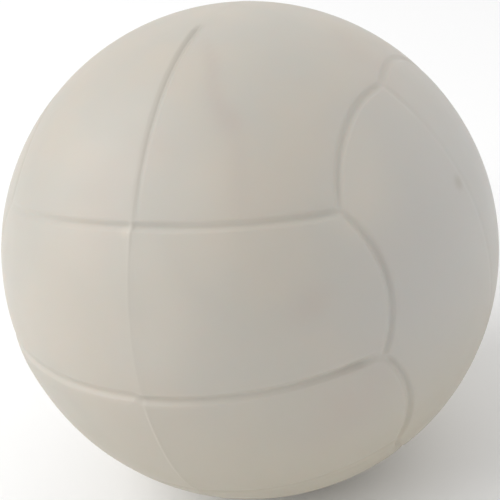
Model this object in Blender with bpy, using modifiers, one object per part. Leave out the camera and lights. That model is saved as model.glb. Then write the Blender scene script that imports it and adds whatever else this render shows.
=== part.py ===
"""A foosball ball: two engraved half shells, tongued, grooved and cemented over a solid core.

+X points across the joint between the halves, -Y is the front and +Z is up. The origin is the ball's centre.
"""

import math

import bmesh
import bpy
from mathutils import Quaternion, Vector

MM = 0.001

# Main sizes
BALL_RADIUS = 17.5 * MM
SHELL_WALL = 3.6 * MM
CLEARANCE = 0.3 * MM

# The rim where the halves meet
RIM_LAND = 1.2 * MM
RIM_GROOVE_WIDTH = 1.4 * MM
RIM_GROOVE_DEPTH = 1.9 * MM
TONGUE_REACH = 0.7 * MM

# The engraved grooves between the panels
GROOVE_RADIUS = 0.3 * MM

# Where a face's middle groove ends, as an angle from that face's centre to the next face's
FRONT_TO_SIDE = math.radians(50.7)
SIDE_TO_TOP = math.radians(48.2)
TOP_TO_FRONT = math.radians(54.4)

# The corners where three panels meet, as turns from the front and heights above the middle
UPPER_CORNER_TURN = math.radians(51.0)
UPPER_CORNER_HEIGHT = math.radians(30.5)
LOWER_CORNER_TURN = math.radians(56.5)
LOWER_CORNER_HEIGHT = math.radians(-30.0)

# How far the rounded panel ends swell past a straight line from corner to middle
FRONT_END_SWELL_UPPER = 1.48 * MM
FRONT_END_SWELL_LOWER = 0.98 * MM
SIDE_END_SWELL = 1.48 * MM
TOP_END_SWELL = 0.50 * MM

# Facets
TURNED_STEPS = 48
OUTER_ARC_STEPS = 12
INNER_ARC_STEPS = 7
PANEL_END_STEPS = 7
MIDDLE_GROOVE_STEPS = 16
GROOVE_BAR_RESOLUTION = 2
CORE_SEGMENTS = 40
CORE_RINGS = 20

# Sizes that follow
INNER_RADIUS = BALL_RADIUS - SHELL_WALL
CORE_RADIUS = INNER_RADIUS - CLEARANCE
RIM_PLANE = CLEARANCE / 2
RIM_GROOVE_OUTER = BALL_RADIUS - RIM_LAND
RIM_GROOVE_INNER = RIM_GROOVE_OUTER - RIM_GROOVE_WIDTH
TONGUE_OUTER = RIM_GROOVE_OUTER - CLEARANCE
TONGUE_INNER = RIM_GROOVE_INNER + CLEARANCE
TONGUE_TIP = -RIM_PLANE - TONGUE_REACH
GROOVE_FLOOR = RIM_PLANE + RIM_GROOVE_DEPTH
MERGE_DISTANCE = 0.001 * MM

# Colours and roughness
BONE_WHITE = (0.52, 0.48, 0.42, 1.0)
CORE_GREY = (0.40, 0.39, 0.37, 1.0)
CEMENT_CREAM = (0.51, 0.475, 0.415, 1.0)
SHELL_ROUGHNESS = 0.5
CORE_ROUGHNESS = 0.6
CEMENT_ROUGHNESS = 0.55


def clear_scene():
    for old in list(bpy.data.objects):
        bpy.data.objects.remove(old, do_unlink=True)


def new_collection(name):
    collection = bpy.data.collections.new(name)
    bpy.context.scene.collection.children.link(collection)
    return collection


def plastic(name, colour, roughness):
    material = bpy.data.materials.new(name)
    material.use_nodes = True
    shader = material.node_tree.nodes["Principled BSDF"]
    shader.inputs["Base Color"].default_value = colour
    shader.inputs["Roughness"].default_value = roughness
    shader.inputs["Metallic"].default_value = 0.0
    return material


def turned_piece(name, profile, closed):
    """A profile of (radius, height) points, run down its outer side, turned about its own Z."""
    bm = bmesh.new()
    points = [bm.verts.new((radius, 0.0, height)) for radius, height in profile]
    for first, second in zip(points, points[1:]):
        bm.edges.new((first, second))
    if closed:
        bm.edges.new((points[-1], points[0]))
    mesh = bpy.data.meshes.new(name)
    bm.to_mesh(mesh)
    bm.free()
    piece = bpy.data.objects.new(name, mesh)
    turn = piece.modifiers.new("turned", "SCREW")
    turn.steps = TURNED_STEPS
    turn.render_steps = TURNED_STEPS
    turn.use_merge_vertices = True
    turn.merge_threshold = MERGE_DISTANCE
    turn.use_smooth_shade = True
    return piece


def quarter_arc(radius, steps, from_pole):
    """Points of a quarter circle between the pole and the rim plane, both ends included."""
    rim_angle = math.asin(RIM_PLANE / radius)
    spread = math.pi / 2 - rim_angle
    angles = [math.pi / 2 - spread * i / steps for i in range(steps + 1)]
    arc = [(radius * math.cos(angle), radius * math.sin(angle)) for angle in angles]
    arc[0] = (0.0, radius)
    return arc if from_pole else arc[::-1]


def half_shell(name, rim):
    """One half, its pole at +Z and its joint plane at Z = 0, with the rim's own steps."""
    outside = quarter_arc(BALL_RADIUS, OUTER_ARC_STEPS, from_pole=True)
    inside = quarter_arc(INNER_RADIUS, INNER_ARC_STEPS, from_pole=False)
    return turned_piece(name, outside + rim + inside, closed=False)


def tongued_rim():
    return [
        (TONGUE_OUTER, RIM_PLANE),
        (TONGUE_OUTER, TONGUE_TIP),
        (TONGUE_INNER, TONGUE_TIP),
        (TONGUE_INNER, RIM_PLANE),
    ]


def grooved_rim():
    return [
        (RIM_GROOVE_OUTER, RIM_PLANE),
        (RIM_GROOVE_OUTER, GROOVE_FLOOR),
        (RIM_GROOVE_INNER, GROOVE_FLOOR),
        (RIM_GROOVE_INNER, RIM_PLANE),
    ]


def cement_ring(name):
    """Set cement between the tongue's tip and the bottom of the groove."""
    top = GROOVE_FLOOR - CLEARANCE
    bottom = -TONGUE_TIP + CLEARANCE
    profile = [
        (TONGUE_OUTER, top),
        (TONGUE_OUTER, bottom),
        (TONGUE_INNER, bottom),
        (TONGUE_INNER, top),
    ]
    return turned_piece(name, profile, closed=True)


def direction(turn, height):
    """A unit vector, turned from the front towards +X and raised towards +Z."""
    level = math.cos(height)
    return Vector((level * math.sin(turn), -level * math.cos(turn), math.sin(height)))


def mirrored(vector, signs):
    return Vector([part * sign for part, sign in zip(vector, signs)])


def arc_between(start, end, swell, towards, steps):
    """Unit vectors along a circle on the ball from start to end, swelling to one side."""
    side = start.cross(end).normalized()
    if side.dot(towards) < 0:
        side.negate()
    lean = swell / BALL_RADIUS
    middle = (start + end).normalized() * math.cos(lean) + side * math.sin(lean)
    axis = (middle - start).cross(end - middle).normalized()
    centre = axis * axis.dot(start)
    turn = 2 * (start - centre).angle(middle - centre)
    return [Quaternion(axis, turn * i / steps) @ start for i in range(steps + 1)]


def corner(signs):
    if signs[2] > 0:
        upper = direction(UPPER_CORNER_TURN, UPPER_CORNER_HEIGHT)
        return mirrored(upper, (signs[0], -signs[1], 1))
    lower = direction(LOWER_CORNER_TURN, LOWER_CORNER_HEIGHT)
    return mirrored(lower, (signs[0], -signs[1], 1))


def end_line(junction, first, second, towards, swells):
    """The two rounded panel ends that meet at one face's middle groove."""
    to_first = arc_between(junction, first, swells[0], towards, PANEL_END_STEPS)
    to_second = arc_between(junction, second, swells[1], towards, PANEL_END_STEPS)
    return to_first[::-1] + to_second[1:]


def front_end_lines():
    """Ends of the front and back panels, which swell onto the sides."""
    swells = (FRONT_END_SWELL_UPPER, FRONT_END_SWELL_LOWER)
    for x in (1, -1):
        for y in (1, -1):
            junction = Vector((x * math.sin(FRONT_TO_SIDE), y * math.cos(FRONT_TO_SIDE), 0))
            yield end_line(junction, corner((x, y, 1)), corner((x, y, -1)), Vector((x, 0, 0)), swells)


def side_end_lines():
    """Ends of the side panels, which swell onto the top and the bottom."""
    swells = (SIDE_END_SWELL, SIDE_END_SWELL)
    for x in (1, -1):
        for z in (1, -1):
            junction = Vector((x * math.cos(SIDE_TO_TOP), 0, z * math.sin(SIDE_TO_TOP)))
            yield end_line(junction, corner((x, -1, z)), corner((x, 1, z)), Vector((0, 0, z)), swells)


def top_end_lines():
    """Ends of the top and bottom panels, which swell onto the front and the back."""
    swells = (TOP_END_SWELL, TOP_END_SWELL)
    for y in (1, -1):
        for z in (1, -1):
            junction = Vector((0, y * math.sin(TOP_TO_FRONT), z * math.cos(TOP_TO_FRONT)))
            yield end_line(junction, corner((1, y, z)), corner((-1, y, z)), Vector((0, y, 0)), swells)


def middle_lines():
    """The groove down the middle of each face, between its two panels."""
    faces = (
        (Vector((0, 1, 0)), Vector((1, 0, 0)), FRONT_TO_SIDE),
        (Vector((1, 0, 0)), Vector((0, 0, 1)), SIDE_TO_TOP),
        (Vector((0, 0, 1)), Vector((0, 1, 0)), TOP_TO_FRONT),
    )
    for face, along, reach in faces:
        for side in (1, -1):
            angles = [reach * (2 * i / MIDDLE_GROOVE_STEPS - 1) for i in range(MIDDLE_GROOVE_STEPS + 1)]
            yield [face * side * math.cos(angle) + along * math.sin(angle) for angle in angles]


def groove_cutter(name, directions, cutters):
    """A round bar laid along the ball's surface, as a closed mesh."""
    curve = bpy.data.curves.new(name, "CURVE")
    curve.dimensions = "3D"
    curve.bevel_depth = GROOVE_RADIUS
    curve.bevel_resolution = GROOVE_BAR_RESOLUTION
    curve.use_fill_caps = True
    spline = curve.splines.new("POLY")
    spline.points.add(len(directions) - 1)
    for point, unit in zip(spline.points, directions):
        point.co = (*(unit * BALL_RADIUS), 1.0)
    bar = bpy.data.objects.new(name + "_path", curve)
    cutters.objects.link(bar)
    bpy.context.view_layer.update()
    evaluated = bar.evaluated_get(bpy.context.evaluated_depsgraph_get())
    mesh = bpy.data.meshes.new_from_object(evaluated)
    bm = bmesh.new()
    bm.from_mesh(mesh)
    bmesh.ops.remove_doubles(bm, verts=bm.verts, dist=MERGE_DISTANCE)
    bmesh.ops.recalc_face_normals(bm, faces=bm.faces)
    bm.to_mesh(mesh)
    bm.free()
    cutter = bpy.data.objects.new(name, mesh)
    cutter.matrix_world = bar.matrix_world
    bpy.data.objects.remove(bar, do_unlink=True)
    cutter.hide_render = True
    cutter.display_type = "WIRE"
    cutters.objects.link(cutter)


def engrave(shell, cutters):
    grooves = shell.modifiers.new("panel_grooves", "BOOLEAN")
    grooves.operation = "DIFFERENCE"
    grooves.solver = "EXACT"
    grooves.operand_type = "COLLECTION"
    grooves.collection = cutters


def core_ball(name):
    bpy.ops.mesh.primitive_uv_sphere_add(segments=CORE_SEGMENTS, ring_count=CORE_RINGS, radius=CORE_RADIUS)
    ball = bpy.context.active_object
    ball.name = name
    ball.data.name = name
    ball.data.shade_smooth()
    return ball


def place(piece, parts, centre, material, tilt):
    """Puts a piece in the ball's collection, its own Z leaned about Y."""
    for home in list(piece.users_collection):
        home.objects.unlink(piece)
    parts.objects.link(piece)
    piece.data.materials.append(material)
    piece.parent = centre
    piece.rotation_euler = (0.0, tilt, 0.0)


def main():
    clear_scene()
    parts = new_collection("foosball_ball")
    cutters = new_collection("panel_groove_cutters")
    centre = bpy.data.objects.new("ball_centre", None)
    parts.objects.link(centre)

    lines = [*front_end_lines(), *side_end_lines(), *top_end_lines(), *middle_lines()]
    for number, line in enumerate(lines, 1):
        groove_cutter(f"panel_groove_{number:02d}", line, cutters)

    shell_plastic = plastic("bone_white_plastic", BONE_WHITE, SHELL_ROUGHNESS)
    core_plastic = plastic("core_plastic", CORE_GREY, CORE_ROUGHNESS)
    cement = plastic("set_cement", CEMENT_CREAM, CEMENT_ROUGHNESS)
    to_right = math.pi / 2
    to_left = -math.pi / 2

    left = half_shell("left_half_shell", grooved_rim())
    right = half_shell("right_half_shell", tongued_rim())
    place(left, parts, centre, shell_plastic, to_left)
    place(right, parts, centre, shell_plastic, to_right)
    engrave(left, cutters)
    engrave(right, cutters)
    place(cement_ring("cement_ring"), parts, centre, cement, to_left)
    place(core_ball("core"), parts, centre, core_plastic, to_right)


main()
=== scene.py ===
# %% [markdown]
# # A moulded foosball ball
# The ball is two half shells of bone-white plastic, closed over a solid core and cemented together.
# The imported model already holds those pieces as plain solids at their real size. This lesson makes the fine
# surface that the eye sees: engraved grooves with soft lips, the cement that shows in the joint, and the
# satin finish of moulded plastic. Each new piece stands exactly where its plain solid is.

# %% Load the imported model
import math

import bmesh
import bpy
import numpy as np
from mathutils import Matrix, Vector


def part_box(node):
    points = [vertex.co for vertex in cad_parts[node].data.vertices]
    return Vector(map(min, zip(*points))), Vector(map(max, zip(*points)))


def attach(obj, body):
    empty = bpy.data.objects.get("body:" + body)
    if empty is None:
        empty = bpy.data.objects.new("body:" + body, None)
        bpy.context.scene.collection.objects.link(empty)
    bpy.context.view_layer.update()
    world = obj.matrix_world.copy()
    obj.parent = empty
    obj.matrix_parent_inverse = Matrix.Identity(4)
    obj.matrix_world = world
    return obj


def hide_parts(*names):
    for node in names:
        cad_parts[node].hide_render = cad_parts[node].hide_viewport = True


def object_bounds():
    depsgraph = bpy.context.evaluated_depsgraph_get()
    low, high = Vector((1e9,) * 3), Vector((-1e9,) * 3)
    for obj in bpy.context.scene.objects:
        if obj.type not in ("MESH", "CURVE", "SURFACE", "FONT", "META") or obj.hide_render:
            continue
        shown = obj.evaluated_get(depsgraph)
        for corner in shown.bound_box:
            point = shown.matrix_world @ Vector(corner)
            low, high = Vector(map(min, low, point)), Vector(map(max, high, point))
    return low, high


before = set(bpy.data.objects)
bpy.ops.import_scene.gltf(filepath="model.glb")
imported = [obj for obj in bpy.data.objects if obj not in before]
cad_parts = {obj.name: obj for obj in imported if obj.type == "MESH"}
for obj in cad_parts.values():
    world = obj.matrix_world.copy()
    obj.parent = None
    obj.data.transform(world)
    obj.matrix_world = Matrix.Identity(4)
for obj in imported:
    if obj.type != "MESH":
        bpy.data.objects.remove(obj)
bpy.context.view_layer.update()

print("nodes:", sorted(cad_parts))

# %% [markdown]
# ## Sizes from the frame
# Every size that the plain solids already have is read from their boxes, so that the fine pieces can't drift
# away from them. The halves stop short of the middle plane, and that gap is where the cement shows. The box
# of the core gives the hollow, and the cement ring's box gives the tongue and groove in the rim. Only the
# width of that groove is in no box, so it is a number here.

# %% Read the sizes
MM = 0.001
# Rounded, because the facets of the plain solid stop a little short of the true ball
BALL_RADIUS = round(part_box("left_half_shell")[1].z, 4)
RIM_PLANE = -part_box("left_half_shell")[1].x
CLEARANCE = 2 * RIM_PLANE
CORE_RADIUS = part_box("core")[1].x
INNER_RADIUS = CORE_RADIUS + CLEARANCE
ring_low, ring_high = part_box("cement_ring")
TONGUE_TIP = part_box("right_half_shell")[0].x
TONGUE_OUTER = ring_high.y
RIM_GROOVE_FLOOR = ring_low.x - CLEARANCE
RIM_GROOVE_OUTER = TONGUE_OUTER + CLEARANCE
RIM_GROOVE_WIDTH = 1.4 * MM
RIM_GROOVE_INNER = RIM_GROOVE_OUTER - RIM_GROOVE_WIDTH
TONGUE_INNER = RIM_GROOVE_INNER + CLEARANCE
print(f"ball {2 * BALL_RADIUS / MM:.1f} mm across, core {2 * CORE_RADIUS / MM:.1f} mm")
print(f"gap at the joint {CLEARANCE / MM:.2f} mm")

# %% [markdown]
# ## The panel layout
# The grooves draw a volleyball-like layout on the ball: six faces, as on a cube, each split into two strips
# by a middle groove, with the strips turned a quarter from each face to the next. The ends of the strips are
# rounded, and so is the corner of the front's lower strip, where the middle groove bends down. Lines drawn
# freehand would waver, so every groove is an arc of a circle on the ball, fixed by two end points and by how
# far it swells to one side. The angles say where the middle grooves end and where three panels meet. The two
# halves come from two moulds that don't quite agree, so the upper corners and the middle groove of the front
# have their own heights on each half.

# %% Angles and swells of the panels
FRONT_TO_CORNER = math.radians(48.0)
SIDE_TO_TOP = math.radians(48.2)
TOP_TO_FRONT = math.radians(54.4)
RIGHT_UPPER_CORNER = (math.radians(51.0), math.radians(31.2))
LEFT_UPPER_CORNER = (math.radians(51.0), math.radians(29.6))
LOWER_CORNER = (math.radians(56.5), math.radians(-30.0))
CORNER_SWELL = 0.07 * MM
FRONT_END_SWELLS = (1.47 * MM, 0.87 * MM)
SIDE_END_SWELL = 1.55 * MM
TOP_END_SWELL = 0.52 * MM
# Heights of the middle groove at the joint and at its end, on the right half and on the left
RIGHT_MIDDLE = (math.radians(-1.0), math.radians(0.0))
LEFT_MIDDLE = (math.radians(-0.35), math.radians(-1.73))
# The lower strip's rounded corner reaches its top and its end this far beyond the middle groove's end
CORNER_TOP = Vector((math.radians(2.9), math.radians(-0.75)))
CORNER_END = Vector((math.radians(4.9), math.radians(-2.9)))
X, Y, Z = Vector((1, 0, 0)), Vector((0, 1, 0)), Vector((0, 0, 1))


def on_ball(side, face, turn, height):
    """A direction, turned to a side (1 is right) from a face (1 is the back) and raised by a height."""
    level = math.cos(height)
    return Vector((side * level * math.sin(turn), face * level * math.cos(turn), math.sin(height)))


print("upper corner", tuple(round(part, 3) for part in on_ball(1, -1, *RIGHT_UPPER_CORNER)))

# %% [markdown]
# ## One groove
# A groove has to answer two questions: where does a plane have to cut so that the mesh has an edge along it,
# and how far is a point of the ball from its centre line? A circle on a ball lies in a plane, and a second
# circle at an even distance from it lies in a parallel plane. So the axis of that plane and the latitude
# about it answer both. Past its two ends, a groove's distance is simply the distance to the nearer end. By
# its name, a later step finds the strips that lie along it.

# %% The groove class
# Keeps a division by zero away
TINY = 1e-12


class Groove:
    """An arc from start to end that swells towards one side."""

    def __init__(self, name, start, end, swell, towards, depth, half_width):
        self.name = name
        side = start.cross(end).normalized()
        side *= 1 if side.dot(towards) >= 0 else -1
        lean = swell / BALL_RADIUS
        top = (start + end).normalized() * math.cos(lean) + side * math.sin(lean)
        self.axis = (top - start).cross(end - top).normalized()
        self.axis *= 1 if self.axis.dot(towards) >= 0 else -1
        self.latitude = math.asin(self.axis.dot(start))
        centre = self.axis * self.axis.dot(start)
        self.half_sweep = (start - centre).angle(top - centre)
        self.middle = np.array((top - centre).normalized())
        self.ends = np.array(start), np.array(end)
        self.depth = depth
        self.half_width = half_width

    def plane(self, offset):
        """A point and the normal of the plane whose cut runs at this distance beside the groove."""
        height = BALL_RADIUS * math.sin(self.latitude + offset / BALL_RADIUS)
        return self.axis * height, self.axis

    def beside(self, units):
        """Distance to one side of the groove's whole circle, for an array of unit vectors."""
        return BALL_RADIUS * (np.arcsin(np.clip(units @ np.array(self.axis), -1, 1)) - self.latitude)

    def distance(self, units):
        """Distance over the ball from the groove's centre line, for an array of unit vectors."""
        level = units - np.outer(units @ np.array(self.axis), self.axis)
        level /= np.linalg.norm(level, axis=1)[:, None] + TINY
        past_end = level @ self.middle < math.cos(self.half_sweep)
        nearest = np.maximum(units @ self.ends[0], units @ self.ends[1])
        to_end = BALL_RADIUS * np.arccos(np.clip(nearest, -1, 1))
        return np.where(past_end, to_end, np.abs(self.beside(units)))


print("a groove is an arc with a name, a depth and a width")

# %% [markdown]
# ## Depths of the grooves
# The grooves are cut deepest near the right end of the front's middle groove, and hardly at all down the
# middle of the sides. Most grow deeper or shallower along their way, so a depth can be a number or a function
# of the place. Two middle grooves run along the joint, where cement and a sanded spot behind the top have
# filled them here and there. A table around the joint gives their depth, how far the plastic swells at the
# joint, how far the right half stands above the left one and where between them that step lies. It also says
# how much paler the left half is.

# %% Depths and the table around the joint
def depth_along(axis, stops):
    """A depth that changes along an axis, from stops of places and depths in millimetres."""
    places, depths = zip(*stops)
    return lambda units: MM * np.interp(units @ np.array(axis) * BALL_RADIUS / MM, places, depths)


GROOVE_HALF_WIDTH = 0.42 * MM
RIGHT_FRONT_END_DEPTH = depth_along(Z, ((-1.5, 0.205), (1.2, 0.165), (3, 0.165), (4.5, 0.205)))
LEFT_FRONT_END_DEPTH = depth_along(Z, ((1, 0.12), (7, 0.06)))
RIGHT_SIDE_END_DEPTH = depth_along(Y, ((-2, 0.18), (4, 0.12)))
LEFT_SIDE_END_DEPTH = depth_along(Y, ((-6, 0.055), (0, 0.11)))
TOP_END_DEPTH = depth_along(X, ((-11.6, 0.03), (-9.5, 0.11), (-7, 0.145), (0, 0.145), (6, 0.165), (11, 0.2)))
BOTTOM_END_DEPTH = 0.08 * MM
RIGHT_MIDDLE_DEPTH = depth_along(X, ((0, 0.15), (8, 0.17), (11, 0.23), (12.6, 0.32), (13.3, 0.22)))
LEFT_MIDDLE_DEPTH = depth_along(X, ((-8, 0.06), (-6, 0.08), (-4.5, 0.1), (-1, 0.1), (0, 0.085)))
SIDE_MIDDLE_DEPTH = depth_along(Z, ((-13, 0.05), (-10, 0.022), (10.5, 0.022), (12.2, 0.06)))
JOINT_HALF_WIDTH = 0.38 * MM
JOINT_WANDER = 0.2 * MM
# Degrees from the front towards the top, the groove's depth, the swell, the step up to the right and the
# step's place, all in millimetres, and the left half's paleness from 0 to 1
AROUND_JOINT = (
    (-90, 0.08, 0.045, 0.0, 0.0, 0.0),
    (-43, 0.08, 0.045, 0.03, 0.0, 0.05),
    (-36, 0.0, 0.045, 0.036, 0.0, 0.1),
    (-6, 0.0, 0.045, 0.036, 0.03, 0.12),
    (2, 0.0, 0.045, 0.0, 0.03, 0.2),
    (10, 0.0, 0.045, -0.01, 0.03, 0.4),
    (22, 0.0, 0.045, -0.015, 0.03, 0.35),
    (32, 0.0, 0.045, -0.018, 0.03, 0.2),
    (36, 0.0, 0.045, -0.01, 0.1, 0.15),
    (42, 0.022, 0.045, -0.026, 0.17, 0.12),
    (60, 0.045, 0.045, -0.036, 0.12, 0.12),
    (70, 0.06, 0.045, -0.036, 0.05, 0.1),
    (80, 0.085, 0.045, -0.036, 0.0, 0.05),
    (86, 0.1, 0.03, -0.03, -0.03, 0.0),
    (88.5, 0.0, 0.0, 0.0, 0.0, 0.0),
    (118, 0.0, 0.0, 0.0, 0.0, 0.0),
    (122, 0.08, 0.045, 0.0, 0.1, 0.1),
    (138, 0.05, 0.045, -0.02, 0.24, 0.12),
    (144, 0.0, 0.045, -0.01, 0.1, 0.15),
    (148, 0.0, 0.045, -0.014, 0.03, 0.2),
    (170, 0.0, 0.045, -0.01, 0.03, 0.2),
    (186, 0.0, 0.045, 0.03, 0.03, 0.12),
    (216, 0.0, 0.045, 0.03, 0.0, 0.1),
    (223, 0.08, 0.045, 0.03, 0.0, 0.05),
    (270, 0.08, 0.045, 0.0, 0.0, 0.0),
)


def angle_around_joint(units):
    """Degrees from the front over the top, between -90 and 270."""
    return (np.degrees(np.arctan2(units[:, 2], -units[:, 1])) + 90) % 360 - 90


def read_around_joint(units):
    """Every column of the table for each point: depth, swell, step and its place in metres, and paleness."""
    angles, *columns = zip(*AROUND_JOINT)
    around = angle_around_joint(units)
    *lengths, pale = (np.interp(around, angles, column) for column in columns)
    return *(MM * length for length in lengths), pale


def joint_groove_depth(units):
    return read_around_joint(units)[0]


print(len(AROUND_JOINT), "places in the table around the joint")

# %% [markdown]
# ## Laying out the grooves
# The layout is the same on the front and the back. The middle groove leaves the joint and bends down over the
# lower strip's corner. From there the ends of the strips run to the corners where three panels meet, and from
# those the grooves of the sides, the top and the bottom go on. Mirroring one quarter of the ball would be
# shorter, but the halves don't quite agree, so each is laid out with its own angles and depths.

# %% Lay out both halves
def panel_grooves(side, upper_corner, middle_heights, middle_depth, front_end_depth, side_end_depth):
    """The grooves of one half, where side is 1 for the right half and -1 for the left."""
    grooves = []

    def add(name, start, end, swell, towards, depth, half_width=GROOVE_HALF_WIDTH):
        grooves.append(Groove(name, start, end, swell, towards, depth, half_width))

    for face in (1, -1):
        leave, arrive = (Vector(place) for place in zip((0, FRONT_TO_CORNER), middle_heights))
        corner_places = arrive, arrive + CORNER_TOP, arrive + CORNER_END
        bend, top, turned = (on_ball(side, face, *place) for place in corner_places)
        add("middle", on_ball(side, face, *leave), bend, 0, Z, middle_depth)
        add("corner", bend, top, CORNER_SWELL, Z, middle_depth)
        add("corner", turned, top, CORNER_SWELL, Z, middle_depth)
        corners = on_ball(side, face, *upper_corner), on_ball(side, face, *LOWER_CORNER)
        for level, start, corner, swell in zip((1, -1), (top, turned), corners, FRONT_END_SWELLS):
            add("front_end", start, corner, swell, side * X, front_end_depth)
            side_end = Vector((side * math.cos(SIDE_TO_TOP), 0, level * math.sin(SIDE_TO_TOP)))
            add("side_end", corner, side_end, SIDE_END_SWELL, level * Z, side_end_depth)
            top_end = Vector((0, face * math.sin(TOP_TO_FRONT), level * math.cos(TOP_TO_FRONT)))
            name, depth = ("upper", TOP_END_DEPTH) if level == 1 else ("lower", BOTTOM_END_DEPTH)
            add(name, top_end, corner, TOP_END_SWELL, face * Y, depth)
            joint_end = (top_end + JOINT_WANDER / BALL_RADIUS * X).normalized()
            add("joint", joint_end, level * Z, 0, X, joint_groove_depth, JOINT_HALF_WIDTH)
    low_end = Vector((side * math.cos(SIDE_TO_TOP), 0, -math.sin(SIDE_TO_TOP)))
    high_end = Vector((side * math.cos(SIDE_TO_TOP), 0, math.sin(SIDE_TO_TOP)))
    add("side_middle", low_end, high_end, 0, Y, SIDE_MIDDLE_DEPTH)
    return grooves


right_depths = RIGHT_MIDDLE_DEPTH, RIGHT_FRONT_END_DEPTH, RIGHT_SIDE_END_DEPTH
left_depths = LEFT_MIDDLE_DEPTH, LEFT_FRONT_END_DEPTH, LEFT_SIDE_END_DEPTH
right_grooves = panel_grooves(1, RIGHT_UPPER_CORNER, RIGHT_MIDDLE, *right_depths)
left_grooves = panel_grooves(-1, LEFT_UPPER_CORNER, LEFT_MIDDLE, *left_depths)
print(len(right_grooves), "grooves on the right half and", len(left_grooves), "on the left")

# %% [markdown]
# ## Turning a half shell
# A half shell is a turned shape: its section is an outer arc, a rim with a tongue or a groove, and an inner
# arc. A bmesh can draw that section with operators alone. Spinning one vertex about the ball's centre draws
# an arc, extruding it draws a straight step, and spinning the whole section about X turns it into a closed
# shell. The rim's outer edge is rounded a little, as a moulded edge is.

# %% Lathe helpers
CENTRE = (0, 0, 0)
TURN_STEPS = 240
OUTER_ARC_STEPS = 60
RIM_BAND = 0.6 * MM
RIM_BAND_STEPS = 7
INNER_ARC_STEPS = 20
EDGE_ROUND = 0.03 * MM
EDGE_STEPS = 4
MERGE = 0.0002 * MM


def draw_arc(bm, vert, centre, angle, steps):
    """Spins a vertex about a point in the section's plane and returns the arc's last vertex."""
    spun = bmesh.ops.spin(bm, geom=[vert], cent=centre, axis=(0, -1, 0), angle=angle, steps=steps)
    return [item for item in spun["geom_last"] if isinstance(item, bmesh.types.BMVert)][0]


def draw_step(bm, vert, along, radius):
    """Extrudes a vertex of the section to a place along the axis and out from it."""
    new = bmesh.ops.extrude_vert_indiv(bm, verts=[vert])["verts"][0]
    new.co = (along, 0, radius)
    return new


def turn_about_x(bm):
    """Spins the drawn section into a closed body with its faces pointing out."""
    section = list(bm.verts) + list(bm.edges)
    bmesh.ops.spin(bm, geom=section, axis=(1, 0, 0), angle=math.tau, steps=TURN_STEPS, use_merge=True)
    bmesh.ops.remove_doubles(bm, verts=bm.verts, dist=MERGE)
    bmesh.ops.recalc_face_normals(bm, faces=bm.faces)


def half_shell(rim_steps):
    """A half whose pole is at +X and whose rim has the given steps, as places along X and out from it."""
    bm = bmesh.new()
    pole = bm.verts.new((BALL_RADIUS, 0, 0))
    edge_x = RIM_PLANE + EDGE_ROUND
    edge_radius = BALL_RADIUS - EDGE_ROUND
    tangent = math.asin(edge_x / edge_radius)
    band = RIM_BAND / BALL_RADIUS
    vert = draw_arc(bm, pole, CENTRE, math.pi / 2 - tangent - band, OUTER_ARC_STEPS)
    vert = draw_arc(bm, vert, CENTRE, band, RIM_BAND_STEPS)
    edge_centre = (edge_x, 0, edge_radius * math.cos(tangent))
    vert = draw_arc(bm, vert, edge_centre, math.pi / 2 + tangent, EDGE_STEPS)
    for along, radius in rim_steps:
        vert = draw_step(bm, vert, along, radius)
    inner = math.asin(RIM_PLANE / INNER_RADIUS)
    vert = draw_step(bm, vert, RIM_PLANE, INNER_RADIUS * math.cos(inner))
    draw_arc(bm, vert, CENTRE, inner - math.pi / 2, INNER_ARC_STEPS)
    turn_about_x(bm)
    return bm


tongue = [
    (RIM_PLANE, TONGUE_OUTER),
    (TONGUE_TIP, TONGUE_OUTER),
    (TONGUE_TIP, TONGUE_INNER),
    (RIM_PLANE, TONGUE_INNER),
]
rim_groove = [
    (RIM_PLANE, RIM_GROOVE_OUTER),
    (-RIM_GROOVE_FLOOR, RIM_GROOVE_OUTER),
    (-RIM_GROOVE_FLOOR, RIM_GROOVE_INNER),
    (RIM_PLANE, RIM_GROOVE_INNER),
]
right_bm = half_shell(tongue)
left_bm = half_shell(rim_groove)
bmesh.ops.scale(left_bm, vec=(-1, 1, 1), verts=left_bm.verts)
bmesh.ops.recalc_face_normals(left_bm, faces=left_bm.faces)
print("turned halves:", len(right_bm.faces), "and", len(left_bm.faces), "faces")

# %% [markdown]
# ## Scoring the grooves
# A groove pressed into a plain grid of faces looks ragged, because the grid doesn't run along it. One cure
# is a very dense mesh. A lighter one is to cut the faces near each groove with planes that run along it, at
# a few distances on either side, so that the mesh has edges exactly where the groove's section bends.

# %% Cut the faces along every groove
SCORE_AT = (-1.0, -0.75, -0.5, -0.25, 0.0, 0.25, 0.5, 0.75, 1.0)
SCORE_BAND = 1.0 * MM


def split_lengths(flat):
    """Directions and lengths of the vectors in a flat array."""
    vectors = flat.reshape(-1, 3)
    lengths = np.linalg.norm(vectors, axis=1)
    return vectors / lengths[:, None], lengths


def face_units(bm):
    """Directions and distances of the faces' middles, read in one go from a scratch mesh."""
    scratch = bpy.data.meshes.new("scratch")
    bm.to_mesh(scratch)
    centres = np.empty(len(scratch.polygons) * 3)
    scratch.polygons.foreach_get("center", centres)
    bpy.data.meshes.remove(scratch)
    return split_lengths(centres)


def score(bm, grooves):
    """Cuts the skin's faces near each groove with planes along it."""
    for groove in grooves:
        units, lengths = face_units(bm)
        near = (groove.distance(units) < SCORE_BAND) & (lengths > RIM_GROOVE_OUTER)
        faces = [face for face, is_near in zip(bm.faces, near) if is_near]
        edges = {edge for face in faces for edge in face.edges}
        verts = {vert for face in faces for vert in face.verts}
        geom = faces + list(edges) + list(verts)
        for share in SCORE_AT:
            if geom:
                point, normal = groove.plane(share * groove.half_width)
                cut = bmesh.ops.bisect_plane(bm, geom=geom, dist=MERGE, plane_co=point, plane_no=normal)
                geom = cut["geom"]


def crossing(grooves):
    """The grooves that start at the joint, which run a little way into the other half."""
    return [groove for groove in grooves if abs(groove.ends[0][0]) < MERGE]


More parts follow.
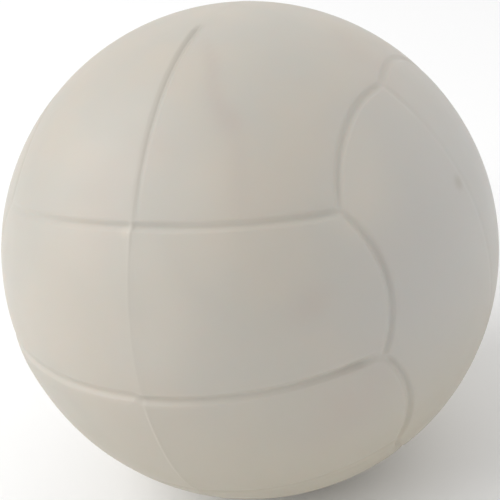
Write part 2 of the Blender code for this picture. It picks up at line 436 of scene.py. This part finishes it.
score(right_bm, right_grooves + crossing(left_grooves))
score(left_bm, left_grooves + crossing(right_grooves))
print("scored halves:", len(right_bm.faces), "and", len(left_bm.faces), "faces")

# %% [markdown]
# ## The section of a groove
# With edges in place, every point of the skin only has to move by the surface's section there. A groove is a
# soft valley with a wider, shallower roll-off at its lips. Where grooves meet, their valleys run together
# softly, as a ball-nosed cutter leaves them on the master for a mould, and wear has made them shallower. A
# sharp-edged cut would be simpler, but it would look like paper.

# %% Valleys and their lips
FULL_DEPTH = 0.195 * MM
VALLEY_BLEND = 4
LIP_ROLL = 0.03 * MM
LIP_REACH = 0.9 * MM
MEETING_WEAR = 0.5
MEETING_REACH = 0.6 * MM
WOBBLE = 0.015 * MM
WOBBLE_WAVES = ((2.1, 0.7, -1.6), (-1.2, 2.4, 0.9), (0.8, -1.1, 2.6))


def wobble(units):
    """A small wander of the grooves' edges, as a hand-finished mould leaves."""
    waves = [np.sin(BALL_RADIUS / MM * (units @ np.array(wave))) for wave in WOBBLE_WAVES]
    return WOBBLE * sum(waves) / len(waves)


def worn_meetings(units, grooves):
    """How much of the depth is left at each point, because the grooves are shallower where they end."""
    meetings = {tuple(groove.ends[1]) for groove in grooves}
    left = np.ones(len(units))
    for meeting in meetings:
        gap = BALL_RADIUS * np.linalg.norm(units - meeting, axis=1)
        left *= 1 - MEETING_WEAR * np.exp(-((gap / MEETING_REACH) ** 2))
    return left


def groove_section(units, grooves):
    """How deep the grooves are at each point, and the share of their lips' roll-off there."""
    valley, roll = 0, 0
    for groove in grooves:
        depth = groove.depth(units) if callable(groove.depth) else groove.depth
        distance = np.abs(groove.distance(units) + wobble(units))
        bowl = 0.5 + 0.5 * np.cos(math.pi * np.clip(distance / groove.half_width, 0, 1))
        valley = valley + (depth / FULL_DEPTH * bowl) ** VALLEY_BLEND
        roll = np.maximum(roll, depth / FULL_DEPTH * np.exp(-((distance / LIP_REACH) ** 2)))
    return worn_meetings(units, grooves) * FULL_DEPTH * valley ** (1 / VALLEY_BLEND), roll


print("full depth", FULL_DEPTH / MM, "mm")

# %% [markdown]
# ## Uneven strips and the joint
# Below the middle groove, the lower strip of the front stands proud, most of all on the left, so that its
# edge there catches the light, and that edge is also painted lighter as a painted highlight. The upper strip
# is sunk a little along its upper groove. At the joint, the ball was scraped flush after cementing, so the
# grooves of one half run softly into those of the other, and the left one's middle groove slips down to meet
# the right one's. All of this is added up into one shift of the surface, so that a strip, a groove and the
# joint can lie over each other.

# %% Strips, joint and the whole shift
# Places across the ball and how far a strip stands there beside its groove, in millimetres
LOWER_STRIP = ((-13.5, 0), (-11.5, 0.13), (0, 0.13), (3.7, 0.08), (9.5, 0.02), (12, 0))
UPPER_STRIP = ((-11, 0), (-9, -0.03), (0, -0.05), (4, -0.065), (9, -0.05), (11, 0))
# The groove that a strip lies along, and whether the strip is above it (1) or below it (-1)
STRIPS = {"middle": (-1, LOWER_STRIP), "upper": (1, UPPER_STRIP)}
STRIP_EDGE = 0.5 * MM
STRIP_REACH = 2.2 * MM
# The strip's edge gets its full painted highlight where the strip stands this far proud, in millimetres
FULL_HIGHLIGHT_STAND = 0.13
JOINT_SWELL_REACH = 1.4 * MM
JOINT_RAMP = 0.07 * MM
SCRAPED_REACH = 0.6 * MM
SLIP = BALL_RADIUS * (LEFT_MIDDLE[0] - RIGHT_MIDDLE[0])
SLIP_REACH = 0.7 * MM
SLIP_HEIGHT = 2.0 * MM


def smooth_step(values):
    values = np.clip(values, 0, 1)
    return values * values * (3 - 2 * values)


def uneven_strips(units, grooves):
    """How far the strips of the front and back stand proud, and the painted highlight on their edge from 0 to
    1.
    """
    across = units[:, 0] * BALL_RADIUS / MM
    rise, edge_highlight = 0, 0
    for groove in grooves:
        if groove.name not in STRIPS:
            continue
        way, stops = STRIPS[groove.name]
        stand = np.interp(across, *zip(*stops))
        beyond = way * groove.beside(units) * (units[:, 1] * groove.middle[1] > 0)
        fall = np.exp(-((np.maximum(beyond - STRIP_EDGE, 0) / STRIP_REACH) ** 2))
        rise = rise + stand * MM * smooth_step(beyond / STRIP_EDGE) * fall
        # The proud strip's edge is painted lighter, a painted highlight strongest where it stands proudest
        edge = np.sin(math.pi * np.clip(beyond / STRIP_EDGE, 0, 1)) ** 2
        edge_highlight = edge_highlight + np.maximum(stand, 0) / FULL_HIGHLIGHT_STAND * edge
    return rise, edge_highlight


def joint_section(units):
    """The swell along the joint, with its step from one half to the other."""
    across = units[:, 0] * BALL_RADIUS
    _, swell, step, line, _ = read_around_joint(units)
    side = np.clip((across - line) / JOINT_RAMP, -1, 1)
    return (swell + step / 2 * side) * np.exp(-np.abs(across) / JOINT_SWELL_REACH)


def slipped(units):
    """Where the left half's pattern is read, so that its middle groove slips down at the joint."""
    slip = SLIP * smooth_step(1 + units[:, 0] * BALL_RADIUS / SLIP_REACH)
    slip = slip * np.exp(-((units[:, 2] * BALL_RADIUS / SLIP_HEIGHT) ** 2))
    moved = units + np.outer(slip / BALL_RADIUS, Z)
    return moved / np.linalg.norm(moved, axis=1)[:, None]


def surface_shift(units):
    """How far the surface stands off the true ball, how deep its grooves are and its painted edge highlight.
    """
    to_right = smooth_step(0.5 + units[:, 0] * BALL_RADIUS / (2 * SCRAPED_REACH))
    totals = np.zeros((3, len(units)))
    for share, grooves, places in (
        (to_right, right_grooves, units),
        (1 - to_right, left_grooves, slipped(units)),
    ):
        near = share > 0
        valley, roll = groove_section(places[near], grooves)
        rise, edge_highlight = uneven_strips(places[near], grooves)
        totals[:, near] += share[near] * np.array((rise - valley - LIP_ROLL * roll, valley, edge_highlight))
    shift, valley, edge_highlight = totals
    return joint_section(units) + shift, valley, edge_highlight


print(f"the left middle groove slips {SLIP / MM:.2f} mm at the joint")

# %% [markdown]
# ## Marks of moulding and use
# From a sanded spot behind the top, a faint flow mark runs down the right half, where two streams of plastic
# met in the mould. Handling has left a few darker smudges and has cleaned other places paler, and the left
# half is the paler one along the joint. The grooves are painted a little darker in step with their depth, and
# the one along the joint more. The marks are drawn as rows of soft dabs on the ball, which fall off with
# distance, and the darkening follows the depth of the grooves. All of it is kept in attributes of the mesh
# for the finish to read.

# %% Soft dabs along the marks
DABS_PER_STRETCH = 12
# Turn from the front and height in degrees, width in millimetres and strength
STAINS = (
    (
        (26.0, 80.0, 0.25, 0.5),
        (27.9, 72.9, 0.45, 0.95),
        (26.3, 65.5, 0.55, 1.0),
        (27.0, 60.2, 0.6, 1.0),
        (30.1, 56.8, 0.75, 1.2),
        (31.1, 52.0, 0.6, 0.6),
        (28.4, 39.1, 0.6, 0.4),
    ),
    ((35.0, 14.0, 0.9, 0.4), (38.0, 16.0, 1.0, 0.8), (41.0, 17.5, 0.8, 0.5)),
    ((3.0, 52.0, 1.6, 0.5), (-5.0, 48.0, 1.8, 0.5), (-11.0, 43.0, 2.0, 0.7), (-9.0, 33.0, 1.7, 0.4)),
    ((36.0, -15.5, 2.0, 0.5), (42.3, -10.7, 2.3, 0.9), (49.8, -4.7, 1.4, 0.6)),
    ((102.6, 57.9, 1.8, 0.6), (95.7, 48.5, 1.8, 0.5)),
)
PALE_MARKS = (
    ((66.0, 42.0, 1.8, 0.3), (58.4, 33.3, 2.2, 0.55), (53.5, 29.0, 1.5, 0.5)),
    ((6.5, 26.0, 2.4, 0.35), (8.3, 19.3, 2.8, 0.5), (5.0, 10.9, 2.2, 0.45)),
    ((18.6, 42.3, 2.0, 0.3), (16.8, 26.8, 2.2, 0.35)),
    ((-2.6, 34.4, 0.35, 0.4), (-1.5, 34.3, 0.4, 0.8)),
)
# The grooves are painted darker in step with their depth, and the groove along the joint most
PANEL_DARKENING = 0.05
JOINT_DARKENING = 1.25
JOINT_DARKENING_REACH = 0.3 * MM
JOINT_DARKENING_LINE = JOINT_WANDER / 4
LEFT_PALE_REACH = 4 * MM
PALE_RAMP = 0.1 * MM


def dabs_along(mark):
    """The centre, width and strength of each dab."""
    for first, second in zip(mark, mark[1:]):
        for part in np.linspace(0, 1, DABS_PER_STRETCH):
            turn, height, width, strength = np.array(first) * (1 - part) + np.array(second) * part
            yield np.array(on_ball(1, -1, math.radians(turn), math.radians(height))), width * MM, strength


def marked(units, marks):
    """How strongly the marks show at each point."""
    shown = np.zeros(len(units))
    for mark in marks:
        for centre, width, strength in dabs_along(mark):
            gap = BALL_RADIUS * np.linalg.norm(units - centre, axis=1)
            shown = np.maximum(shown, strength * np.exp(-((gap / width) ** 2)))
    return shown


def paler_left(units):
    """The left half's own paleness, strongest along the joint."""
    *_, line, pale = read_around_joint(units)
    past_line = line - units[:, 0] * BALL_RADIUS
    edge = smooth_step(0.5 + past_line / (2 * PALE_RAMP))
    return pale * edge * np.exp(-np.maximum(past_line, 0) / LEFT_PALE_REACH)


def darkening_in_grooves(units, valley):
    """How much darker each point is painted: a little in every groove, and more in the one along the joint.
    """
    across = units[:, 0] * BALL_RADIUS - JOINT_DARKENING_LINE
    at_joint = joint_groove_depth(units) * np.exp(-((across / JOINT_DARKENING_REACH) ** 2))
    return (PANEL_DARKENING * valley + JOINT_DARKENING * at_joint) / FULL_DEPTH


print(len(STAINS), "stains and", len(PALE_MARKS), "pale marks")

# %% [markdown]
# ## Pressing the skin
# Now the skin's points move to their places, while the rim and the hollow stay where they are. A Displace
# modifier could do that too, but the section is known for every point, so the points are simply moved. The
# grooves' darkening, the strip's painted highlight and the marks go into attributes, so that the finish can
# find them later.

# %% Press both halves and keep what the finish needs
SKIN_BOTTOM = 0.4 * MM


def read_places(mesh):
    places = np.empty(len(mesh.vertices) * 3)
    mesh.vertices.foreach_get("co", places)
    return split_lengths(places)


def write_places(mesh, units, lengths):
    mesh.vertices.foreach_set("co", (units * lengths[:, None]).ravel())
    mesh.update()


def skin_hold(lengths):
    """1 on the skin and 0 well below it."""
    return np.clip((lengths - (BALL_RADIUS - SKIN_BOTTOM)) / (SKIN_BOTTOM - EDGE_ROUND), 0, 1)


def press_to(mesh, units, lengths, raised=0):
    """Moves points that lie this far out by the surface's section, and keeps what the finish needs."""
    shift, valley, edge_highlight = surface_shift(units)
    hold = skin_hold(lengths)
    write_places(mesh, units, lengths + hold * shift + raised)
    pale = np.maximum(marked(units, PALE_MARKS), paler_left(units))
    groove_darkening = darkening_in_grooves(units, valley)
    kept = {"groove_darkening": groove_darkening, "painted_edge_highlight": edge_highlight, "stain": marked(units, STAINS), "pale": pale}
    for name, values in kept.items():
        mesh.attributes.new(name, "FLOAT", "POINT").data.foreach_set("value", values * hold)


def press(mesh):
    """Puts the cut skin back on the true ball and moves it by the section."""
    units, lengths = read_places(mesh)
    clear_of_rim = np.abs(units[:, 0]) * lengths > RIM_PLANE + EDGE_ROUND
    lengths = np.where(clear_of_rim & (lengths > BALL_RADIUS - EDGE_ROUND), BALL_RADIUS, lengths)
    press_to(mesh, units, lengths)


def mesh_from(bm, name):
    mesh = bpy.data.meshes.new(name)
    bm.to_mesh(mesh)
    bm.free()
    return mesh


right_mesh = mesh_from(right_bm, "right_half_moulded")
left_mesh = mesh_from(left_bm, "left_half_moulded")
press(right_mesh)
press(left_mesh)
print("pressed", len(right_mesh.vertices), "and", len(left_mesh.vertices), "vertices")

# %% [markdown]
# ## The cement in the joint
# Cement was run into the rim's groove and squeezed up past the tongue when the halves were pressed together,
# so it fills the gap and was wiped to a thin film on the surface, which thins out to its edges. Over the top
# and the bottom it lies at the foot of the groove that runs along the joint. At the upper crossing of the
# front it bridges the groove a little, and a drop was left just below. It is another turned shape, drawn as
# a closed section. Grooves cross it, so it is scored like the halves, and each point remembers how far out
# it was in the section, because a cut through a flat face lies a little too deep.

# %% Turn the cement and set its level around the joint
CEMENT_CREEP = 0.0015 * MM
FILM = 0.002 * MM
FILM_EDGE = 0.001 * MM
FILM_HALF_WIDTH = 0.27 * MM
CROWN_STEPS = 14
BRIDGE_SHARE = 0.4
# The ends of the bridge and the place of the drop, in degrees around the joint
BRIDGE_FROM, BRIDGE_TO = 33.0, 38.0
DROP_ANGLE = 33.9
DROP_ACROSS = -0.1 * MM
DROP_HALF_LENGTH = 0.45 * MM
DROP_HALF_WIDTH = 0.16 * MM
DROP_HEIGHT = 0.02 * MM


def cement_section(bm):
    """Draws the section from the film's right edge round to where it began."""
    half = RIM_PLANE - CEMENT_CREEP
    inner = RIM_GROOVE_INNER + CEMENT_CREEP
    outer = RIM_GROOVE_OUTER - CEMENT_CREEP
    beside_tongue = TONGUE_OUTER + CEMENT_CREEP
    past_tip = TONGUE_TIP - CEMENT_CREEP
    floor = RIM_GROOVE_FLOOR + CEMENT_CREEP
    edge = RIM_PLANE + EDGE_ROUND
    under = BALL_RADIUS + CEMENT_CREEP
    first = vert = bm.verts.new((FILM_HALF_WIDTH, 0, under + FILM_EDGE))
    for step in range(1, CROWN_STEPS + 1):
        share = 1 - 2 * step / CROWN_STEPS
        vert = draw_step(bm, vert, FILM_HALF_WIDTH * share, under + FILM_EDGE + FILM * (1 - share**2))
    vert = draw_step(bm, vert, -FILM_HALF_WIDTH, under)
    vert = draw_step(bm, vert, -edge, under)
    vert = draw_arc(bm, vert, (-edge, 0, BALL_RADIUS - EDGE_ROUND), -math.pi / 2, EDGE_STEPS)
    steps = [(-half, outer), (floor, outer), (floor, inner), (past_tip, inner)]
    steps += [(past_tip, beside_tongue), (half, beside_tongue), (half, BALL_RADIUS - EDGE_ROUND)]
    for along, radius in steps:
        vert = draw_step(bm, vert, along, radius)
    vert = draw_arc(bm, vert, (edge, 0, BALL_RADIUS - EDGE_ROUND), -math.pi / 2, EDGE_STEPS)
    vert = draw_step(bm, vert, FILM_HALF_WIDTH, under)
    bm.edges.new((vert, first))
    out = bm.verts.layers.float.new("section_length")
    for vert in bm.verts:
        vert[out] = vert.co.length


def set_cement_level(mesh):
    """Presses the cement like the skin and adds the bridge and the drop to its outer side."""
    units, lengths = read_places(mesh)
    mesh.attributes["section_length"].data.foreach_get("value", lengths)
    around = angle_around_joint(units)
    crown = lengths > BALL_RADIUS + CEMENT_CREEP + FILM_EDGE / 2
    along_drop = BALL_RADIUS * np.radians(around - DROP_ANGLE) / DROP_HALF_LENGTH
    over_drop = (units[:, 0] * BALL_RADIUS - DROP_ACROSS) / DROP_HALF_WIDTH
    drop = DROP_HEIGHT * np.clip(1 - along_drop**2 - over_drop**2, 0, 1)
    valley = surface_shift(units)[1]
    hump = (1 - np.clip(units[:, 0] * BALL_RADIUS / FILM_HALF_WIDTH, -1, 1) ** 2) ** 2
    bridge = BRIDGE_SHARE * valley * hump * ((around > BRIDGE_FROM) & (around < BRIDGE_TO))
    press_to(mesh, units, lengths, crown * (bridge + drop))


cement_bm = bmesh.new()
cement_section(cement_bm)
turn_about_x(cement_bm)
score(cement_bm, right_grooves + left_grooves)
cement_mesh = mesh_from(cement_bm, "cement_squeezed")
set_cement_level(cement_mesh)
print("cement:", len(cement_mesh.polygons), "faces")

# %% [markdown]
# ## The core
# The core is a plain moulded ball that nobody sees once the halves are closed, but it is a real piece. Like
# any moulded ball it keeps a fine raised line where its own mould parted and a small dimple where the plastic
# went in. A sphere of many small faces takes both as gentle moves of its points.

# %% Shape the core
CORE_LINE_HEIGHT = 0.05 * MM
CORE_LINE_WIDTH = 0.25 * MM
GATE_RADIUS = 1.2 * MM
GATE_DEPTH = 0.25 * MM
CORE_COLUMNS = 128
CORE_ROWS = 96
core_bm = bmesh.new()
plain_radius = CORE_RADIUS - CORE_LINE_HEIGHT
bmesh.ops.create_uvsphere(core_bm, u_segments=CORE_COLUMNS, v_segments=CORE_ROWS, radius=plain_radius)
for vert in core_bm.verts:
    line = CORE_LINE_HEIGHT * math.exp(-((vert.co.z / CORE_LINE_WIDTH) ** 2))
    gate = GATE_DEPTH * math.exp(-((vert.co.xy.length / GATE_RADIUS) ** 4)) if vert.co.z > 0 else 0
    vert.co *= 1 + (line - gate) / CORE_RADIUS
core_mesh = mesh_from(core_bm, "core_moulded")
print("core:", len(core_mesh.polygons), "faces")

# %% [markdown]
# ## Shader sums in plain Python
# A finish is easier to read as sums than as a web of nodes. One small class wraps a socket, so that adding,
# subtracting or multiplying makes the Math node. All other nodes come from one method, which takes the node's
# type, its settings and what goes into its sockets.

# %% The wire and finish classes
class Wire:
    """A socket of a finish, ready for sums."""

    def __init__(self, finish, socket):
        self.finish = finish
        self.socket = socket

    def sum(self, operation, first, second):
        return self.finish.node("ShaderNodeMath", {"operation": operation}, {0: first, 1: second})

    def __add__(self, other):
        return self.sum("ADD", self, other)

    def __sub__(self, other):
        return self.sum("SUBTRACT", self, other)

    def __rsub__(self, other):
        return self.sum("SUBTRACT", other, self)

    def __mul__(self, other):
        return self.sum("MULTIPLY", self, other)

    __radd__ = __add__
    __rmul__ = __mul__


class Finish:
    """The nodes of a material or a sky, with the shader that they feed."""

    def __init__(self, owner, shader="Principled BSDF"):
        owner.use_nodes = True
        self.owner = owner
        self.tree = owner.node_tree
        self.shader = self.tree.nodes[shader]

    def node(self, kind, settings=(), sockets=(), out=0):
        """A new node, as a wire from one of its outputs."""
        made = self.tree.nodes.new(kind)
        for setting, value in dict(settings).items():
            setattr(made, setting, value)
        for socket, value in dict(sockets).items():
            self.feed(made.inputs[socket], value)
        return Wire(self, made.outputs[out])

    def feed(self, socket, value):
        """Links a wire to a socket, or sets the socket's own value."""
        if isinstance(value, Wire):
            self.tree.links.new(value.socket, socket)
        else:
            socket.default_value = value

    def set(self, **sockets):
        """Feeds the shader's sockets, whose names are written with underscores."""
        for name, value in sockets.items():
            self.feed(self.shader.inputs[name.replace("_", " ")], value)

    def place(self):
        return self.node("ShaderNodeTexCoord", out="Object")

    def along(self, axis):
        return self.node("ShaderNodeSeparateXYZ", {}, {0: self.place()}, out=axis)

    def attribute(self, name):
        return self.node("ShaderNodeAttribute", {"attribute_name": name}, out="Fac")

    def noise(self, size, detail=2.0):
        """Soft noise whose blotches are about this size in metres."""
        sockets = {"Vector": self.place(), "Scale": 1 / size, "Detail": detail}
        return self.node("ShaderNodeTexNoise", {"noise_dimensions": "3D"}, sockets)

    def ramp(self, value, low, high):
        """0 below low, 1 above high and smooth between."""
        settings = {"interpolation_type": "SMOOTHSTEP"}
        return self.node("ShaderNodeMapRange", settings, {"Value": value, "From Min": low, "From Max": high})

    def mix(self, factor, first, second):
        """A colour between two others. A Mix node has its colours in sockets 6 and 7 and at output 2."""
        return self.node("ShaderNodeMix", {"data_type": "RGBA"}, {0: factor, 6: first, 7: second}, out=2)


print("finish tools ready")

# %% [markdown]
# ## Bone-white satin plastic
# The plastic is an off-white with a warm cast. Moulded parts are never one flat colour: the pigment swirls a
# little, one side holds a small dark speck and handling leaves duller patches. The underside is painted
# warmer and darker, a painted shade with warm light bounced up from below, and the right side is painted
# cooler, a painted cool light from the right. The grooves are painted darker in step with their depth, and
# the proud strip's edge gets a painted highlight. An image could hold all that, but it would need an
# unwrapped ball, and noise and attributes don't. A low subsurface share lets light into the plastic a short
# way, which softens the grooves' edges. The grain of the mould is a fine bump. The cement is the same
# plastic, dissolved and set again, in a film too thin to let any light in.

# %% The shell finish
SWIRL_RANGE = (0.35, 0.65)
GRAIN_DETAIL = 3
GRAIN_DEPTH = 0.01 * MM
BONE = (0.525, 0.482, 0.417, 1)
BONE_COOL = (0.497, 0.472, 0.42, 1)
BONE_SWIRL = 7 * MM
# The lower side's painted warm shade, and the heights where it is full and where it starts
WARM_BOUNCE_SHADE = (0.478, 0.436, 0.352, 1)
BOUNCE_SHADE_FULL, BOUNCE_SHADE_STARTS = -13 * MM, 4 * MM
# The right side's painted cool light, and how far across it starts and is full
COOL_LIGHT_TINT = (0.492, 0.476, 0.446, 1)
COOL_LIGHT_STARTS, COOL_LIGHT_FULL = 8 * MM, 17 * MM
# The colour that the grooves are painted towards, in step with their depth
GROOVE_DARKER = (0.40, 0.37, 0.32, 1)
STAINED = (0.470, 0.410, 0.364, 1)
STAIN_SHARE = 0.45
PALE = (0.592, 0.543, 0.470, 1)
# The colour of the painted highlight on the proud strip's edge
EDGE_HIGHLIGHT_COLOUR = (0.60, 0.56, 0.50, 1)
EDGE_HIGHLIGHT_SHARE = 0.5
SPECK = (0.36, 0.33, 0.28, 1)
SPECK_PLACE = BALL_RADIUS * on_ball(1, -1, math.radians(87.3), math.radians(22.0))
SPECK_RADIUS = 0.8 * MM
SPECK_SHARE = 0.5
SATIN_ROUGHNESS = 0.47
DULL_PATCH = 4 * MM
DULL_DETAIL = 4
DULL_RANGE = (0.4, 0.7)
DULL_SHARE = 0.08
SHELL_GRAIN = 0.12 * MM
SHELL_GRAIN_STRENGTH = 0.35
LET_IN = 0.1
LET_IN_REACH = 0.3 * MM


def swirls(finish, size):
    """Soft swirls of about this size, from 0 to 1."""
    return finish.ramp(finish.noise(size), *SWIRL_RANGE)


def mould_grain(finish, size, strength):
    """The fine grain that a mould leaves, as a bump for the shader's normal."""
    height = finish.noise(size, GRAIN_DETAIL)
    sockets = {"Strength": strength, "Distance": GRAIN_DEPTH, "Height": height}
    return finish.node("ShaderNodeBump", {}, sockets)


def shell_finish(name, let_in):
    """The bone-white plastic, which lets in this share of the light."""
    finish = Finish(bpy.data.materials.new(name))
    plastic = finish.mix(swirls(finish, BONE_SWIRL), BONE, BONE_COOL)
    # The right side is painted cooler and a little darker, as a painted cool light from the right
    with_cool_light = finish.mix(finish.ramp(finish.along("X"), COOL_LIGHT_STARTS, COOL_LIGHT_FULL), plastic, COOL_LIGHT_TINT)
    # The lower side is painted warmer and darker: painted shade with warm light bounced up from below
    bounce_shade = 1 - finish.ramp(finish.along("Z"), BOUNCE_SHADE_FULL, BOUNCE_SHADE_STARTS)
    with_bounce_shade = finish.mix(bounce_shade, with_cool_light, WARM_BOUNCE_SHADE)
    stained = finish.mix(finish.attribute("stain") * STAIN_SHARE, with_bounce_shade, STAINED)
    cleaned = finish.mix(finish.attribute("pale"), stained, PALE)
    # The proud strip's edge is painted lighter: a painted highlight where it catches the lamp
    painted_edge_highlight = finish.mix(finish.attribute("painted_edge_highlight") * EDGE_HIGHLIGHT_SHARE, cleaned, EDGE_HIGHLIGHT_COLOUR)
    # The grooves are painted darker in step with their depth
    darkened = finish.mix(finish.attribute("groove_darkening"), painted_edge_highlight, GROOVE_DARKER)
    to_speck = {0: finish.place(), 1: SPECK_PLACE}
    gap = finish.node("ShaderNodeVectorMath", {"operation": "DISTANCE"}, to_speck, out="Value")
    in_speck = 1 - finish.ramp(gap, 0, SPECK_RADIUS)
    colour = finish.mix(in_speck * SPECK_SHARE, darkened, SPECK)
    dull = finish.ramp(finish.noise(DULL_PATCH, DULL_DETAIL), *DULL_RANGE)
    finish.set(Base_Color=colour, Roughness=SATIN_ROUGHNESS + dull * DULL_SHARE)
    finish.set(Normal=mould_grain(finish, SHELL_GRAIN, SHELL_GRAIN_STRENGTH))
    finish.set(Subsurface_Weight=let_in, Subsurface_Scale=LET_IN_REACH)
    return finish.owner


shell_plastic = shell_finish("bone_white_satin", LET_IN)
set_cement = shell_finish("set_cement", 0)
print("finishes:", shell_plastic.name, set_cement.name)

# %% [markdown]
# ## Grey core plastic
# The core is moulded from plain grey plastic, because nobody sees it. One flat colour would do, but the same
# swirls and grain as on the shell make it look moulded when the ball is opened.

# %% The core finish
CORE_GREY = (0.42, 0.41, 0.39, 1)
CORE_GREY_SHADE = (0.38, 0.37, 0.35, 1)
CORE_SWIRL = 5 * MM
CORE_ROUGHNESS = 0.5
CORE_DULL_SHARE = 0.1
CORE_GRAIN = 0.15 * MM
CORE_GRAIN_STRENGTH = 0.3


def core_finish(name):
    finish = Finish(bpy.data.materials.new(name))
    swirl = swirls(finish, CORE_SWIRL)
    finish.set(Base_Color=finish.mix(swirl, CORE_GREY, CORE_GREY_SHADE))
    finish.set(Roughness=CORE_ROUGHNESS + swirl * CORE_DULL_SHARE)
    finish.set(Normal=mould_grain(finish, CORE_GRAIN, CORE_GRAIN_STRENGTH))
    return finish.owner


core_plastic = core_finish("core_grey")
print("finish:", core_plastic.name)

# %% [markdown]
# ## Putting the pieces on the frame
# Each fine piece rides on the model's one body and takes the place of its plain solid, which is hidden.
# Smooth shading runs over the skin and the grooves, while the rim's real corners stay sharp.

# %% Make the objects
SHARP_CORNER = math.radians(50)


def add_piece(mesh, node, material):
    mesh.materials.append(material)
    mesh.shade_smooth()
    mesh.set_sharp_from_angle(angle=SHARP_CORNER)
    piece = bpy.data.objects.new(mesh.name, mesh)
    bpy.context.scene.collection.objects.link(piece)
    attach(piece, "root")
    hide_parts(node)


add_piece(right_mesh, "right_half_shell", shell_plastic)
add_piece(left_mesh, "left_half_shell", shell_plastic)
add_piece(cement_mesh, "cement_ring", set_cement)
add_piece(core_mesh, "core", core_plastic)

# %% [markdown]
# ## Floor and light
# The ball lies on a plain white table under soft light: a white sky, brighter behind the ball and to its
# right, and one large lamp at the upper left, which makes that side the lightest. More lamps could do the
# sky's work, but each would leave its own spot of light on the satin plastic.

# %% Floor and light
FLOOR_SIZE = 2.0
TABLE_WHITE = (0.9, 0.9, 0.9, 1)
TABLE_ROUGHNESS = 0.9
SKY_WHITE = (1, 1, 1, 1)
SKY_STRENGTH = 0.69
SKY_SLOPE = (0.38, 0.47, -0.03)
LAMP_DIRECTION = Vector((-0.65, -0.39, 0.66))
LAMP_DISTANCE = 0.35
LAMP_SIZE = 0.45
LAMP_POWER = 1.29


def add_floor():
    """A table whose top touches the ball's lowest point."""
    bm = bmesh.new()
    bmesh.ops.create_grid(bm, x_segments=1, y_segments=1, size=FLOOR_SIZE / 2)
    bmesh.ops.translate(bm, vec=(0, 0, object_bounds()[0].z), verts=bm.verts)
    mesh = mesh_from(bm, "white_table")
    finish = Finish(bpy.data.materials.new("white_table"))
    finish.set(Base_Color=TABLE_WHITE, Roughness=TABLE_ROUGHNESS)
    mesh.materials.append(finish.owner)
    floor = bpy.data.objects.new("white_table", mesh)
    bpy.context.scene.collection.objects.link(floor)


def add_sky():
    """A white sky whose strength grows along a slope."""
    sky = Finish(bpy.data.worlds.new("white_sky"), "Background")
    sockets = {0: sky.node("ShaderNodeTexCoord", out="Generated"), 1: SKY_SLOPE}
    slope = sky.node("ShaderNodeVectorMath", {"operation": "DOT_PRODUCT"}, sockets, out="Value")
    sky.set(Color=SKY_WHITE, Strength=slope + SKY_STRENGTH)
    bpy.context.scene.world = sky.owner


def add_lamp():
    light = bpy.data.lights.new("soft_lamp", "AREA")
    light.shape = "DISK"
    light.size = LAMP_SIZE
    light.energy = LAMP_POWER
    lamp = bpy.data.objects.new("soft_lamp", light)
    lamp.location = LAMP_DIRECTION.normalized() * LAMP_DISTANCE
    lamp.rotation_euler = LAMP_DIRECTION.to_track_quat("Z", "Y").to_euler()
    bpy.context.scene.collection.objects.link(lamp)


add_floor()
add_sky()
add_lamp()
bpy.context.scene.view_settings.view_transform = "Standard"
print("white table, white sky and one soft lamp")

# %% [markdown]
# ## Camera
# The camera is close, so less than half of the ball shows, and the ball fills the frame. It looks down at the
# front from the right, and is tipped a little to one side. Its lens isn't a number to guess: it follows from
# how wide the ball's edge has to be in the picture.

# %% Place the camera
CAMERA_TURN = math.radians(28.3)
CAMERA_HEIGHT = math.radians(29.3)
CAMERA_TILT = math.radians(-11.3)
CAMERA_DISTANCE = 5.74 * BALL_RADIUS
PIXELS_ACROSS = 500
BALL_PIXELS_ACROSS = 498


def add_camera():
    """A camera whose frame the ball fills to the given number of pixels."""
    back = on_ball(1, -1, CAMERA_TURN, CAMERA_HEIGHT)
    limb = math.tan(math.asin(BALL_RADIUS / CAMERA_DISTANCE))
    data = bpy.data.cameras.new("camera")
    data.lens = data.sensor_width / 2 / (limb * PIXELS_ACROSS / BALL_PIXELS_ACROSS)
    data.clip_start = BALL_RADIUS
    camera = bpy.data.objects.new("camera", data)
    camera.matrix_world = (
        Matrix.Translation(back * CAMERA_DISTANCE)
        @ (-back).to_track_quat("-Z", "Y").to_matrix().to_4x4()
        @ Matrix.Rotation(CAMERA_TILT, 4, "Z")
    )
    bpy.context.scene.collection.objects.link(camera)
    bpy.context.scene.camera = camera
    return data.lens


print(f"camera lens {add_camera():.1f} mm")
